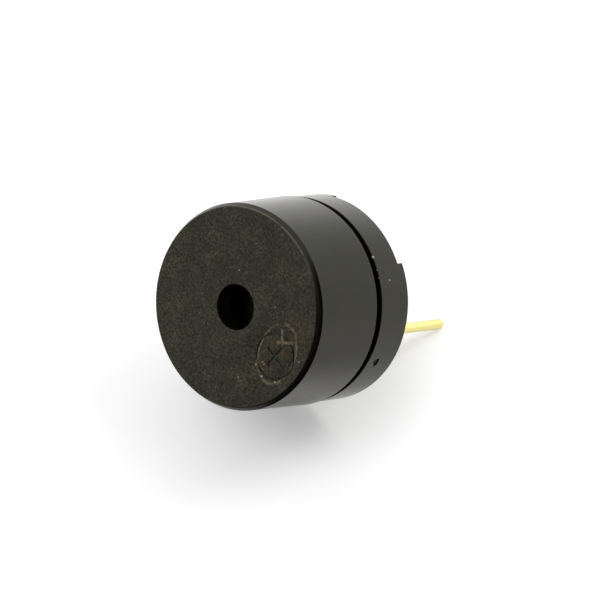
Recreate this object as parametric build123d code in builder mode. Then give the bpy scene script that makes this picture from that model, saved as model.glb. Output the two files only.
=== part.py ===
from build123d import *
import math
import os

# Driving dimensions, in millimetres and degrees.
# The origin is the centre of the seating plane under the feet, and +Z points to the sound hole.
body_diameter = 12.0
body_height = 8.5
cap_height = 5.35
cap_draft = 1.25
cap_wall = 0.8
cap_turn = -5.0
groove_width = 0.55
flange_diameter = 11.86
foot_height = 0.5
foot_span = 120.0
sound_hole_diameter = 2.6
pin_pitch = 6.5
pin_diameter = 0.6
pin_reach = 8.0
face_bevel_width = 0.18
face_bevel_height = 0.34
edge_break = 0.08
rim_break = 0.04

# Radii of the housing, worked out from the walls and from a light glued fit.
fit_gap = 0.05
flange_wall = 1.03
spigot_wall = 0.4
magnet_ledge = 0.3
diaphragm_grip = 0.25
cap_rim_radius = body_diameter / 2
cap_face_radius = cap_rim_radius - cap_height * math.tan(math.radians(cap_draft))
bevel_foot_radius = cap_face_radius + face_bevel_height * math.tan(math.radians(cap_draft))
sound_hole_radius = sound_hole_diameter / 2
flange_radius = flange_diameter / 2
skirt_bore_radius = cap_rim_radius - cap_wall
spigot_radius = skirt_bore_radius - fit_gap
ring_seat_radius = spigot_radius - spigot_wall
magnet_bore_radius = ring_seat_radius - magnet_ledge
board_bore_radius = flange_radius - flange_wall
chamber_radius = ring_seat_radius - diaphragm_grip

# Heights of the stack, from the seating plane up.
cap_rim_z = body_height - cap_height
flange_top_z = cap_rim_z - groove_width
resin_recess = 0.2
resin_thickness = 0.45
resin_face_z = foot_height + resin_recess
board_thickness = 0.6
board_bottom_z = resin_face_z + resin_thickness
board_top_z = board_bottom_z + board_thickness
yoke_thickness = 0.6
yoke_top_z = board_top_z + yoke_thickness
magnet_height = 2.2
magnet_top_z = yoke_top_z + magnet_height
magnet_clearance = 0.35
ring_seat_z = magnet_top_z + magnet_clearance
support_ring_height = 0.45
diaphragm_z = ring_seat_z + support_ring_height
diaphragm_thickness = 0.08
armature_z = diaphragm_z + diaphragm_thickness
air_gap = 0.25
core_top_z = diaphragm_z - air_gap
spigot_rise = 0.45
spigot_top_z = diaphragm_z + spigot_rise
chamber_top_z = body_height - cap_wall

# Radii of the driving parts inside.
magnet_radius = magnet_bore_radius - fit_gap
magnet_wall = 1.25
magnet_hole_radius = magnet_radius - magnet_wall
core_radius = 1.25
core_break = 0.1
rivet_shank_radius = 0.8
rivet_head_radius = 1.2
rivet_head_height = 0.22
rivet_head_break = 0.12
coil_gap = 0.25
bobbin_flange_radius = magnet_hole_radius - coil_gap
bobbin_flange_thickness = 0.2
bobbin_wall = 0.2
bobbin_bore_gap = 0.03
bobbin_bore_radius = core_radius + bobbin_bore_gap
bobbin_tube_radius = bobbin_bore_radius + bobbin_wall
core_stand = 0.2
bobbin_top_z = core_top_z - core_stand
winding_margin = 0.22
winding_radius = bobbin_flange_radius - winding_margin
wrap_thickness = 0.06
winding_bottom_z = yoke_top_z + bobbin_flange_thickness
winding_top_z = bobbin_top_z - bobbin_flange_thickness
armature_radius = 2.3
armature_thickness = 0.35
board_radius = board_bore_radius - fit_gap

# Terminals, pads, solder and the two wires of the coil.
pin_radius = pin_diameter / 2
pin_x = pin_pitch / 2
pin_hole_gap = 0.02
pin_hole_radius = pin_radius + pin_hole_gap
pin_tip_length = 0.25
pin_tip_inset = 0.14
stub_height = 0.47
stub_taper = 0.05
stub_foot_radius = pin_radius - pin_hole_gap
stub_top_radius = stub_foot_radius - stub_taper
collar_radius = 0.55
collar_height = board_bottom_z - resin_face_z
pad_radius = 0.78
pad_thickness = 0.05
solder_foot_radius = 0.7
solder_rise = 0.36
solder_waist = 0.15
notch_half_width = 0.95
notch_depth_x = pin_x - notch_half_width
notch_corner = 0.25
wire_radius = 0.05
wire_bend = 0.12
wire_rise = 0.18
wire_level_z = board_top_z + wire_rise
wire_slot_width = 0.2


def arc_pad(inner_radius, outer_radius, span):
    """One arc-shaped pad, centred on the X axis: two arcs joined by radial lines."""
    with BuildSketch() as pad:
        with BuildLine():
            inner = CenterArc((0, 0), inner_radius, -span / 2, span)
            outer = CenterArc((0, 0), outer_radius, -span / 2, span)
            Line(inner @ 0, outer @ 0)
            Line(inner @ 1, outer @ 1)
        make_face()
    return pad.sketch


def finish_piece(piece, name):
    """Label a finished piece, write it to its own file and say how large it is."""
    piece.part.label = name
    export_step(piece.part, f"parts/{name}.step")
    print(f"{name}: {piece.part.volume:.3f} cubic mm")


os.makedirs("parts", exist_ok=True)

# Cap: one moulded cup, open below, with the sound hole in its face.
# Its outer wall leans in by the draft of the mould.
cavity_corner = 0.4
neck_radius = sound_hole_radius + 0.7
neck_length = 0.4
nib_count = 4
nib_start = 45.0
nib_span = 24.0
nib_height = 0.27
nib_width = 0.2
mark_ring_offset = 3.86
mark_ring_radius = 1.3
mark_ring_width = 0.09
mark_ring_depth = 0.06

with BuildPart() as cap:
    # The half section runs up the wall, over the bevel and the face, down the sound hole and back inside.
    with BuildSketch(Plane.XZ):
        with BuildLine():
            Polyline(
                (cap_rim_radius, cap_rim_z),
                (bevel_foot_radius, body_height - face_bevel_height),
                (cap_face_radius - face_bevel_width, body_height),
                (sound_hole_radius, body_height),
                (sound_hole_radius, chamber_top_z - neck_length),
                (neck_radius, chamber_top_z - neck_length),
                (neck_radius, chamber_top_z),
                (chamber_radius - cavity_corner, chamber_top_z),
                (chamber_radius, chamber_top_z - cavity_corner),
                (chamber_radius, spigot_top_z),
                (skirt_bore_radius, spigot_top_z),
                (skirt_bore_radius, cap_rim_z),
                close=True,
            )
        make_face()
    revolve(axis=Axis.Z)
    rim_edge = cap.edges().group_by(Axis.Z)[0].sort_by(SortBy.LENGTH)[-1]
    chamfer(rim_edge, length=rim_break)
    # Four nibs under the step keep the diaphragm on its seat.
    with BuildSketch(Plane.XY.offset(spigot_top_z)):
        with PolarLocations(0, nib_count, start_angle=nib_start):
            add(arc_pad(chamber_radius, chamber_radius + nib_width, nib_span))
    extrude(amount=-nib_height)
    # A fine moulded ring frames the polarity mark on the side of the positive pin.
    with BuildSketch(Plane.XY.offset(body_height)):
        with PolarLocations(mark_ring_offset, 1, start_angle=cap_turn):
            Circle(mark_ring_radius + mark_ring_width / 2)
            Circle(mark_ring_radius - mark_ring_width / 2, mode=Mode.SUBTRACT)
    extrude(amount=-mark_ring_depth, mode=Mode.SUBTRACT)
finish_piece(cap, "cap")

# Base: one moulded ring with a flange, two arc-shaped feet and a spigot that carries the cap.
glue_groove_rise = 0.75
glue_groove_bottom_z = cap_rim_z + glue_groove_rise
glue_groove_height = 0.6
glue_groove_depth = 0.15
key_radius = 0.4
key_lead = 0.2
lead_in = 0.15
gap_turn = 90.0
gap_overrun = 1.0

with BuildPart() as base:
    with BuildSketch():
        Circle(flange_radius)
    extrude(amount=flange_top_z)
    chamfer(base.edges().sort_by(Axis.Z)[0], length=edge_break)
    chamfer(base.edges().sort_by(Axis.Z)[-1], length=rim_break)
    with BuildSketch(Plane.XY.offset(flange_top_z)):
        Circle(spigot_radius)
    extrude(amount=spigot_top_z - flange_top_z)
    chamfer(base.edges().sort_by(Axis.Z)[-1], length=lead_in)
    # Three bores one above the other: for the board, the magnet and the support ring.
    with BuildSketch():
        Circle(board_bore_radius)
    extrude(amount=board_top_z, mode=Mode.SUBTRACT)
    with BuildSketch(Plane.XY.offset(board_top_z)):
        Circle(magnet_bore_radius)
    extrude(amount=ring_seat_z - board_top_z, mode=Mode.SUBTRACT)
    with BuildSketch(Plane.XY.offset(ring_seat_z)):
        Circle(ring_seat_radius)
    extrude(amount=spigot_top_z - ring_seat_z, mode=Mode.SUBTRACT)
    # Two gaps in the bottom rim leave an arc-shaped foot under each pin.
    with BuildSketch():
        with PolarLocations(0, 2, start_angle=gap_turn):
            add(arc_pad(board_bore_radius - gap_overrun, flange_radius + gap_overrun, 180 - foot_span))
    extrude(amount=foot_height, mode=Mode.SUBTRACT)
    # A key on the wall of the lower bore turns the board the right way round.
    with BuildSketch(Plane.XY.offset(board_bottom_z - key_lead)):
        with Locations((0, board_bore_radius)):
            Circle(key_radius)
        Circle(board_bore_radius + key_radius / 2, mode=Mode.INTERSECT)
    extrude(amount=board_thickness + key_lead)
    # The glue groove runs round the spigot, hidden by the skirt of the cap.
    with BuildSketch(Plane.XY.offset(glue_groove_bottom_z)):
        Circle(spigot_radius)
        Circle(spigot_radius - glue_groove_depth, mode=Mode.SUBTRACT)
    extrude(amount=glue_groove_height, mode=Mode.SUBTRACT)
finish_piece(base, "base")

# Cap adhesive: the bead that fills the glue groove and holds the skirt.
with BuildPart() as cap_adhesive:
    with BuildSketch(Plane.XY.offset(glue_groove_bottom_z)):
        Circle(skirt_bore_radius)
        Circle(spigot_radius - glue_groove_depth, mode=Mode.SUBTRACT)
    extrude(amount=glue_groove_height)
finish_piece(cap_adhesive, "cap_adhesive")

# Support ring: a turned ring in the top bore, with a rounded seat for the diaphragm.
support_ring_gap = 0.03
support_ring_width = 0.67
support_ring_bevel = 0.12
with BuildPart() as support_ring:
    with BuildSketch(Plane.XY.offset(ring_seat_z)):
        Circle(ring_seat_radius - support_ring_gap)
        Circle(ring_seat_radius - support_ring_width, mode=Mode.SUBTRACT)
    extrude(amount=support_ring_height)
    inner_top_edge = support_ring.edges().group_by(Axis.Z)[-1].sort_by(SortBy.LENGTH)[0]
    chamfer(inner_top_edge, length=support_ring_bevel)
finish_piece(support_ring, "support_ring")

# Diaphragm: a thin steel disc that rests on the support ring.
with BuildPart() as diaphragm:
    with BuildSketch(Plane.XY.offset(diaphragm_z)):
        Circle(ring_seat_radius - fit_gap)
    extrude(amount=diaphragm_thickness)
finish_piece(diaphragm, "diaphragm")

# Armature disc: the weight in the middle of the diaphragm, with three weld dimples.
weld_count = 3
weld_offset = 0.75
weld_radius = 0.16
weld_depth = 0.08
weld_taper = 45
with BuildPart() as armature_disc:
    with BuildSketch(Plane.XY.offset(armature_z)):
        Circle(armature_radius)
    extrude(amount=armature_thickness)
    chamfer(armature_disc.edges().sort_by(Axis.Z)[-1], length=edge_break)
    with BuildSketch(Plane.XY.offset(armature_z + armature_thickness)):
        with PolarLocations(weld_offset, weld_count):
            Circle(weld_radius)
    extrude(amount=-weld_depth, taper=weld_taper, mode=Mode.SUBTRACT)
finish_piece(armature_disc, "armature_disc")

# Ring magnet: it stands on the yoke plate round the coil.
magnet_break = 0.1
with BuildPart() as ring_magnet:
    with BuildSketch(Plane.XY.offset(yoke_top_z)):
        Circle(magnet_radius)
        Circle(magnet_hole_radius, mode=Mode.SUBTRACT)
    extrude(amount=magnet_height)
    chamfer(ring_magnet.edges().filter_by(GeomType.CIRCLE), length=magnet_break)
finish_piece(ring_magnet, "ring_magnet")

# Yoke plate: a stamped steel disc with a notch on each side for a pin and its wire.
with BuildPart() as yoke_plate:
    with BuildSketch(Plane.XY.offset(board_top_z)):
        Circle(magnet_radius)
        Circle(rivet_shank_radius, mode=Mode.SUBTRACT)
        with PolarLocations(notch_depth_x + magnet_radius / 2, 2):
            Rectangle(magnet_radius, 2 * notch_half_width, mode=Mode.SUBTRACT)
    extrude(amount=yoke_thickness)
    corners = yoke_plate.edges().filter_by(Axis.Z)
    fillet(corners.filter_by(lambda e: abs(e.center().X) < pin_x - pin_radius), radius=notch_corner)
finish_piece(yoke_plate, "yoke_plate")

# Pole core: a turned iron pin, riveted through the yoke plate and the board.
with BuildPart() as pole_core:
    with BuildSketch(Plane.XY.offset(yoke_top_z)):
        Circle(core_radius)
    extrude(amount=core_top_z - yoke_top_z)
    chamfer(pole_core.edges().sort_by(Axis.Z)[-1], length=core_break)
    with BuildSketch(Plane.XY.offset(yoke_top_z)):
        Circle(rivet_shank_radius)
    extrude(amount=board_bottom_z - yoke_top_z)
    with BuildSketch(Plane.XY.offset(board_bottom_z)):
        Circle(rivet_head_radius)
    extrude(amount=-rivet_head_height)
    chamfer(pole_core.edges().sort_by(Axis.Z)[0], length=rivet_head_break)
finish_piece(pole_core, "pole_core")

# Coil bobbin: a moulded tube with two flanges. Slots in the lower flange let the wires out.
with BuildPart() as coil_bobbin:
    with BuildSketch(Plane.XY.offset(yoke_top_z)):
        Circle(bobbin_flange_radius)
    extrude(amount=bobbin_flange_thickness)
    with BuildSketch(Plane.XY.offset(winding_bottom_z)):
        Circle(bobbin_tube_radius)
    extrude(amount=winding_top_z - winding_bottom_z)
    with BuildSketch(Plane.XY.offset(winding_top_z)):
        Circle(bobbin_flange_radius)
    extrude(amount=bobbin_flange_thickness)
    with Locations((0, 0, bobbin_top_z)):
        Hole(bobbin_bore_radius)
    slot_length = bobbin_flange_radius - bobbin_tube_radius
    with BuildSketch(Plane.XY.offset(yoke_top_z)):
        with PolarLocations(bobbin_tube_radius + slot_length / 2, 2):
            Rectangle(slot_length, wire_slot_width)
    extrude(amount=bobbin_flange_thickness, mode=Mode.SUBTRACT)
finish_piece(coil_bobbin, "coil_bobbin")

# Coil winding: many layers of fine enamelled wire, drawn as the ring that they fill.
with BuildPart() as coil_winding:
    with BuildSketch(Plane.XY.offset(winding_bottom_z)):
        Circle(winding_radius)
        Circle(bobbin_tube_radius, mode=Mode.SUBTRACT)
    extrude(amount=winding_top_z - winding_bottom_z)
finish_piece(coil_winding, "coil_winding")

# Coil wrap: the turn of tape that covers the winding.
with BuildPart() as coil_wrap:
    with BuildSketch(Plane.XY.offset(winding_bottom_z)):
        Circle(winding_radius + wrap_thickness)
        Circle(winding_radius, mode=Mode.SUBTRACT)
    extrude(amount=winding_top_z - winding_bottom_z)
finish_piece(coil_wrap, "coil_wrap")

# Circuit board: a round board under the yoke plate, with a notch for the key of the base.
with BuildPart() as circuit_board:
    with BuildSketch(Plane.XY.offset(board_bottom_z)):
        Circle(board_radius)
        with PolarLocations(pin_x, 2):
            Circle(pin_hole_radius, mode=Mode.SUBTRACT)
        Circle(rivet_shank_radius, mode=Mode.SUBTRACT)
        with Locations((0, board_bore_radius)):
            Circle(key_radius + fit_gap, mode=Mode.SUBTRACT)
    extrude(amount=board_thickness)
finish_piece(circuit_board, "circuit_board")

# Terminals: for each side a pin, its copper pad, its coil wire and its solder joint.
# The end wire leaves the outermost layer. The start wire leaves the innermost one and runs out in the slot.
wire_drop_x = winding_radius - 2 * wire_radius
wire_slot_z = winding_bottom_z - wire_radius
pad_top_z = board_top_z + pad_thickness
pin_top_z = board_top_z + stub_height
wire_ends = [(wire_drop_x, wire_level_z), (pin_x - pin_radius, wire_level_z)]
wire_routes = {
    "positive": [(wire_drop_x, winding_bottom_z)] + wire_ends,
    "negative": [(bobbin_tube_radius, wire_slot_z), (wire_drop_x, wire_slot_z)] + wire_ends,
}
side_sign = {"positive": 1, "negative": -1}
pins = {}

for side, sign in side_sign.items():
    pin_centre = (sign * pin_x, 0)
    pin_axis = Axis((sign * pin_x, 0, 0), (0, 0, 1))
    side_plane = Plane(origin=(0, 0, 0), x_dir=(sign, 0, 0), z_dir=(0, -sign, 0))

    # The pin is one turned piece: a pointed shaft, a collar under the board and a tapered stub through it.
    with BuildPart() as pin:
        with BuildSketch(side_plane):
            with BuildLine():
                Polyline(
                    (pin_x, -pin_reach),
                    (pin_x + pin_radius - pin_tip_inset, -pin_reach),
                    (pin_x + pin_radius, pin_tip_length - pin_reach),
                    (pin_x + pin_radius, resin_face_z),
                    (pin_x + collar_radius, resin_face_z),
                    (pin_x + collar_radius, board_bottom_z),
                    (pin_x + stub_foot_radius, board_bottom_z),
                    (pin_x + stub_top_radius, pin_top_z),
                    (pin_x, pin_top_z),
                    close=True,
                )
            make_face()
        revolve(axis=pin_axis)
    finish_piece(pin, f"pin_{side}")
    pins[side] = pin

    with BuildPart() as pad:
        with BuildSketch(Plane.XY.offset(board_top_z)):
            with Locations(pin_centre):
                Circle(pad_radius)
                Circle(pin_hole_radius, mode=Mode.SUBTRACT)
        extrude(amount=pad_thickness)
    finish_piece(pad, f"pad_{side}")

    with BuildPart() as coil_wire:
        with BuildLine(side_plane) as route:
            FilletPolyline(*wire_routes[side], radius=wire_bend)
        with BuildSketch(Plane(route.line @ 0, z_dir=route.line % 0)):
            Circle(wire_radius)
        sweep()
    finish_piece(coil_wire, f"coil_wire_{side}")

    # The solder climbs the stub of the pin in two slopes and takes in the end of the wire.
    with BuildPart() as solder:
        with BuildSketch(side_plane):
            with BuildLine():
                Polyline(
                    (pin_x, pad_top_z),
                    (pin_x + solder_foot_radius, pad_top_z),
                    (pin_x + pin_radius + solder_waist, pad_top_z + solder_waist),
                    (pin_x + stub_top_radius, pad_top_z + solder_rise),
                    (pin_x, pad_top_z + solder_rise),
                    close=True,
                )
            make_face()
        revolve(axis=pin_axis)
        add(coil_wire.part, mode=Mode.SUBTRACT)
        add(pin.part, mode=Mode.SUBTRACT)
    finish_piece(solder, f"solder_{side}")

# Resin seal: poured level with the collars of the pins, with a rim that creeps along the wall.
resin_creep = 0.08
with BuildPart() as resin_seal:
    with BuildSketch(Plane.XZ):
        with BuildLine():
            Polyline(
                (0, resin_face_z),
                (board_bore_radius - 2 * resin_creep, resin_face_z),
                (board_bore_radius, resin_face_z - resin_creep),
                (board_bore_radius, board_bottom_z),
                (0, board_bottom_z),
                close=True,
            )
        make_face()
    revolve(axis=Axis.Z)
    for neighbour in (base, pole_core, *pins.values()):
        add(neighbour.part, mode=Mode.SUBTRACT)
finish_piece(resin_seal, "resin_seal")
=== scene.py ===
# %% [markdown]
# # A round electronic buzzer
# The object is a small magnetic sounder: a black moulded cap with a sound hole, glued on a black
# moulded base, with two gold pins behind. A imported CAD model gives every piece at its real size.
# This file gives the pieces their finish, and finer surfaces where the finish needs them.
# The model is loaded first, because everything else is measured on it.

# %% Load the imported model
import math

import bmesh
import bpy
import numpy as np
from mathutils import Matrix, Vector
from mathutils.geometry import tessellate_polygon


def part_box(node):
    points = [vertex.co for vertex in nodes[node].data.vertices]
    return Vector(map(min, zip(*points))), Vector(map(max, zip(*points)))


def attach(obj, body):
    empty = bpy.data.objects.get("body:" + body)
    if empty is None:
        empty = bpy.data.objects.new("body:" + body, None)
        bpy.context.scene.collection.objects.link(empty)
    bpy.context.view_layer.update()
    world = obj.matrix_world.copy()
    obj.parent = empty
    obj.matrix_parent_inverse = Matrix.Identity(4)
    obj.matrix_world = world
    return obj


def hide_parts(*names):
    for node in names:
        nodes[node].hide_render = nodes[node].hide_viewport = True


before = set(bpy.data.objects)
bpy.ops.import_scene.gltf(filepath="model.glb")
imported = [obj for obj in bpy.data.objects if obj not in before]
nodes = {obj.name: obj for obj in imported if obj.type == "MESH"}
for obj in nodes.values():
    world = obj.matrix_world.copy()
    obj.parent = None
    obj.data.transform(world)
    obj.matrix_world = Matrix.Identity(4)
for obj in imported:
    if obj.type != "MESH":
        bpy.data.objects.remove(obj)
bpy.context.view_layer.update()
print("pieces of the model:", len(nodes))

# %% [markdown]
# ## Sizes
# Most sizes are read from the boxes of the CAD pieces, so the looks can't drift from the model.
# The rest are small radii and depths that a box doesn't give. All are in millimetres, and the
# meshes are scaled to metres when they are made.

# %% Sizes from the model
MM = 0.001


def box_mm(node):
    """Lowest and highest corner of a CAD piece, in millimetres."""
    low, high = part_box(node)
    return np.array(low) / MM, np.array(high) / MM


cap_rim_z, body_height = (corner[2] for corner in box_mm("cap"))
cap_rim_radius = 6.0
cap_draft = math.radians(1.25)
cap_face_radius = cap_rim_radius - (body_height - cap_rim_z) * math.tan(cap_draft)
cap_wall = 0.8
sound_hole_radius = 1.3
bevel_width, bevel_height = 0.18, 0.34
edge_break, rim_break = 0.08, 0.04
skirt_bore_radius = cap_rim_radius - cap_wall
chamber_top_z = body_height - cap_wall

groove_width = 0.55
flange_radius, flange_wall = 5.93, 1.03
flange_top_z = cap_rim_z - groove_width
foot_height = 0.5
foot_gap = math.radians(60)
fit_gap, spigot_wall, magnet_ledge, diaphragm_grip = 0.05, 0.4, 0.3, 0.25
spigot_top_z = box_mm("base")[1][2]
spigot_radius = skirt_bore_radius - fit_gap
ring_seat_radius = spigot_radius - spigot_wall
ring_seat_z = box_mm("support_ring")[0][2]
chamber_radius = ring_seat_radius - diaphragm_grip
magnet_bore_radius = ring_seat_radius - magnet_ledge
board_bore_radius = flange_radius - flange_wall
board_bottom_z, board_top_z = (corner[2] for corner in box_mm("circuit_board"))

pin_low, pin_high = box_mm("pin_positive")
pin_x = (pin_low[0] + pin_high[0]) / 2
pin_radius = 0.3
pin_tip_z, pin_top_z = pin_low[2], pin_high[2]
collar_radius = (pin_high[0] - pin_low[0]) / 2
resin_face_z = 0.7
print("pins at x", round(pin_x, 3), "mm, collar radius", round(collar_radius, 3), "mm")

# %% [markdown]
# ## The camera
# The photograph looks at the face from its right. The camera could be turned by eye, but ellipses
# are unforgiving, so it is worked out instead. Two angles say where the sound hole points, as the
# camera sees it, and a third says how far the pins are turned round that axis. The lens is long,
# because the sides of the body look nearly parallel. Its distance follows from the face's width.

# %% Camera from three angles
photo_pixels = 600
focal_pixels = 5500.0
face_distance = 310.0
face_centre_pixel = (235.3, 307.2)
face_turn = math.radians(-36.84)
face_tilt = math.radians(3.99)
pin_turn = math.radians(139.0)
sensor_width = 36.0


def unit(vector):
    """A vector of length one."""
    return vector / np.linalg.norm(vector)


def add(name, data):
    """A new object in the scene."""
    thing = bpy.data.objects.new(name, data)
    bpy.context.scene.collection.objects.link(thing)
    return thing


# As the camera sees it, the coordinates here are right, down and away.
seen_z = np.array([math.cos(face_tilt) * math.sin(face_turn), math.sin(face_tilt),
                   -math.cos(face_tilt) * math.cos(face_turn)])
seen_side = unit(np.cross(seen_z, (0, -1, 0)))
seen_low = np.cross(seen_z, seen_side)
seen_x = math.cos(pin_turn) * seen_side + math.sin(pin_turn) * seen_low
seen = np.stack([seen_x, np.cross(seen_z, seen_x), seen_z])

off_centre = (np.array(face_centre_pixel) - photo_pixels / 2) / focal_pixels
face_from_camera = face_distance * np.array([off_centre[0], off_centre[1], 1.0])
camera_place = np.array([0.0, 0.0, body_height]) - seen @ face_from_camera
camera_right, camera_up, camera_back = (seen * (1, -1, -1)).T

camera = add("camera", bpy.data.cameras.new("camera"))
camera.data.sensor_width = sensor_width
camera.data.lens = sensor_width * focal_pixels / photo_pixels
camera.data.clip_start, camera.data.clip_end = 0.01, 10.0
turn = Matrix([camera_right, camera_up, camera_back]).transposed().to_4x4()
camera.matrix_world = Matrix.Translation(Vector(camera_place * MM)) @ turn
bpy.context.scene.camera = camera
print("camera at", camera_place.round(1), "mm, lens", round(camera.data.lens), "mm")

# %% [markdown]
# ## Surfaces from numpy
# Almost every piece of a buzzer is turned or moulded round one axis. Blender could spin a profile,
# but here a shape is a function of two parameters, a place along a profile and an angle. That keeps
# each formula in view, and lets the profile change with the angle, as it does at the feet.
# `weld` makes the closed mesh: points that fall together become one, and faces are turned outwards.

# %% Grids to meshes
weld_distance = 2e-7
crease_angle = math.radians(32)


def grid(points, closed_rows=False):
    """A sheet of rows x columns points, with four-sided faces between neighbours. Its last column
    joins its first one, and with closed_rows its last row also joins its first."""
    rows, columns = points.shape[:2]
    i = np.arange(rows if closed_rows else rows - 1)[:, None]
    j = np.arange(columns)[None, :]

    def corner(down, across):
        return (i + down) % rows * columns + (j + across) % columns

    faces = np.stack([corner(0, 0), corner(0, 1), corner(1, 1), corner(1, 0)], -1)
    return points, faces.reshape(-1, 4)


def weld(name, sheets, stands_for):
    """One mesh object from sheets, each a pair of points in mm and faces."""
    points = np.concatenate([p.reshape(-1, 3) for p, _ in sheets])
    starts = np.cumsum([0] + [p.size // 3 for p, _ in sheets[:-1]])
    faces = [face for (_, quads), start in zip(sheets, starts)
             for face in (np.array(quads) + start).tolist()]
    mesh = bpy.data.meshes.new(name)
    mesh.from_pydata((points * MM).tolist(), [], faces)
    work = bmesh.new()
    work.from_mesh(mesh)
    bmesh.ops.remove_doubles(work, verts=work.verts, dist=weld_distance)
    bmesh.ops.recalc_face_normals(work, faces=work.faces)
    open_edges = sum(len(edge.link_faces) != 2 for edge in work.edges)
    work.to_mesh(mesh)
    work.free()
    mesh.polygons.foreach_set("use_smooth", np.ones(len(mesh.polygons), bool))
    mesh.set_sharp_from_angle(angle=crease_angle)
    piece = add(name, mesh)
    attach(piece, "root")
    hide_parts(*stands_for)
    print(f"{name}: {len(mesh.polygons)} faces, {open_edges} open edges")
    return piece


def turned(r, z, angles):
    """Surface of revolution: the point (r, z) goes to (r cos a, r sin a, z) for each angle a."""
    r, z = (np.broadcast_to(row if np.ndim(row) == 2 else row[:, None], (len(row), len(angles)))
            for row in (r, z))
    return np.stack([r * np.cos(angles), r * np.sin(angles), z], -1)


# %% [markdown]
# A moulded or turned edge is never perfectly sharp, and its small radius catches the light. So a
# profile is written as its corners, each with a radius, and `rounded` puts an arc in place of each.
# It also sets a holding point a little way along both sides of the arc, so that the smooth shading
# of the arc doesn't spread over the flat beside it. `full_turn` gives the angles round the axis,
# and `flat` makes the level sheets that close a shape.

# %% Profiles with rounded corners
arc_step = math.radians(10)
holding_gap = 0.02
same_angle = 1e-4


def rounded(corners):
    """Closed outline through corners (r, z, radius). Each arc touches both sides of its corner,
    and lies on the circle whose centre is radius / sin(half angle) from the corner."""
    place, radius = np.array(corners, float)[:, :2], np.array(corners, float)[:, 2]
    outline = []
    for k, corner in enumerate(place):
        if radius[k] == 0:
            outline.append(corner[None])
            continue
        back = unit(place[k - 1] - corner)
        ahead = unit(place[(k + 1) % len(place)] - corner)
        half = math.acos(float(np.clip(back @ ahead, -1, 1))) / 2
        centre = corner + unit(back + ahead) * radius[k] / math.sin(half)
        start, end = (corner + side * radius[k] / math.tan(half) for side in (back, ahead))
        swing = math.pi - 2 * half
        share = np.linspace(0, 1, max(2, round(swing / arc_step)) + 1)[:, None]
        arc = centre + (np.sin((1 - share) * swing) * (start - centre)
                        + np.sin(share * swing) * (end - centre)) / math.sin(swing)
        outline += [start[None] + back * holding_gap, arc, end[None] + ahead * holding_gap]
    return np.concatenate(outline)


def even_angles(steps):
    """Angles round a full turn in equal steps."""
    return np.arange(steps) * 2 * math.pi / steps


def full_turn(steps, spans, extra=()):
    """Angles round the axis, and a mask that is true inside the spans (centre, width). Both ends
    of a span come twice, outside and inside, so that a step in the profile there is a sheer wall.
    Extra angles make the mesh finer at a small detail. Any angle on a span's end gives way."""
    angles = np.append(even_angles(steps), extra) % (2 * math.pi)
    inside = np.zeros(len(angles), bool)
    order = np.zeros(len(angles))
    for centre, width in spans:
        off = np.abs((angles - centre + math.pi) % (2 * math.pi) - math.pi)
        clear = np.abs(off - width / 2) > same_angle
        angles, inside, order = angles[clear], (inside | (off < width / 2))[clear], order[clear]
        angles = np.append(angles, np.array([-1, -1, 1, 1]) * width / 2 + centre) % (2 * math.pi)
        inside = np.append(inside, [False, True, True, False])
        order = np.append(order, [1, 2, 1, 2])
    keys = np.lexsort((order, angles.round(9)))
    return angles[keys], inside[keys]


def flat(loops, z):
    """A flat sheet inside the first loop of points and outside the others, as triangles."""
    level = [loop * (1, 1, 0) for loop in loops]
    return np.concatenate(level) + (0, 0, z), tessellate_polygon([loop.tolist() for loop in level])


# %% [markdown]
# ## The cap
# The cap is one moulded cup. Its outer wall leans in a little, so that it leaves the mould, and a
# small polished bevel joins it to the face. Inside, a step with four nibs holds the diaphragm. A
# fine ring with a plus in its middle is sunk into the face on the positive side. A bump could fake
# it, but real geometry also holds close up and in the exported mesh. The flat face is left open
# there, and a channel and a sunk plus with a centre of their own fill the opening.

# %% Cap
turn_steps = 480
ring_steps = 192
neck_step, neck_length = 0.7, 0.4
neck_radius = sound_hole_radius + neck_step
neck_z = chamber_top_z - neck_length
cavity_corner = 0.4
nib_span, nib_height, nib_width = math.radians(24), 0.27, 0.2
inner_radius = 0.03
hole_edge_radius = 0.05
bevel_foot_round, bevel_top_round = 0.03, 0.06
mark_turn, mark_offset = math.radians(-5.0), 3.86
mark_centre = mark_offset * np.array([math.cos(mark_turn), math.sin(mark_turn)])
mark_ring_radius, mark_ring_width, mark_ring_depth = 1.3, 0.09, 0.06
ring_lip = 0.012
plus_turn = math.radians(-8.5)
plus_arm, plus_half_width, plus_depth = 0.72, 0.08, 0.06
bevel_low_radius = cap_face_radius + bevel_height * math.tan(cap_draft)
outer_margin, inner_margin = 0.15, 0.06
face_outer = cap_face_radius - bevel_width - outer_margin
face_inner = sound_hole_radius + hole_edge_radius + inner_margin


def plus_outline(spread, depth):
    """A plus of two crossed bars at a depth, grown by spread on all sides: the corners of one arm,
    turned by quarter turns about the centre of the mark."""
    half, tip = plus_half_width + spread, plus_arm + spread
    arm = np.array([half + 1j * half, half + 1j * tip, -half + 1j * tip])
    corners = (arm * (1j ** np.arange(4))[:, None]).ravel() * np.exp(1j * plus_turn)
    height = np.full(len(corners), body_height - depth)
    return np.column_stack([mark_centre[0] + corners.real, mark_centre[1] + corners.imag, height])


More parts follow.
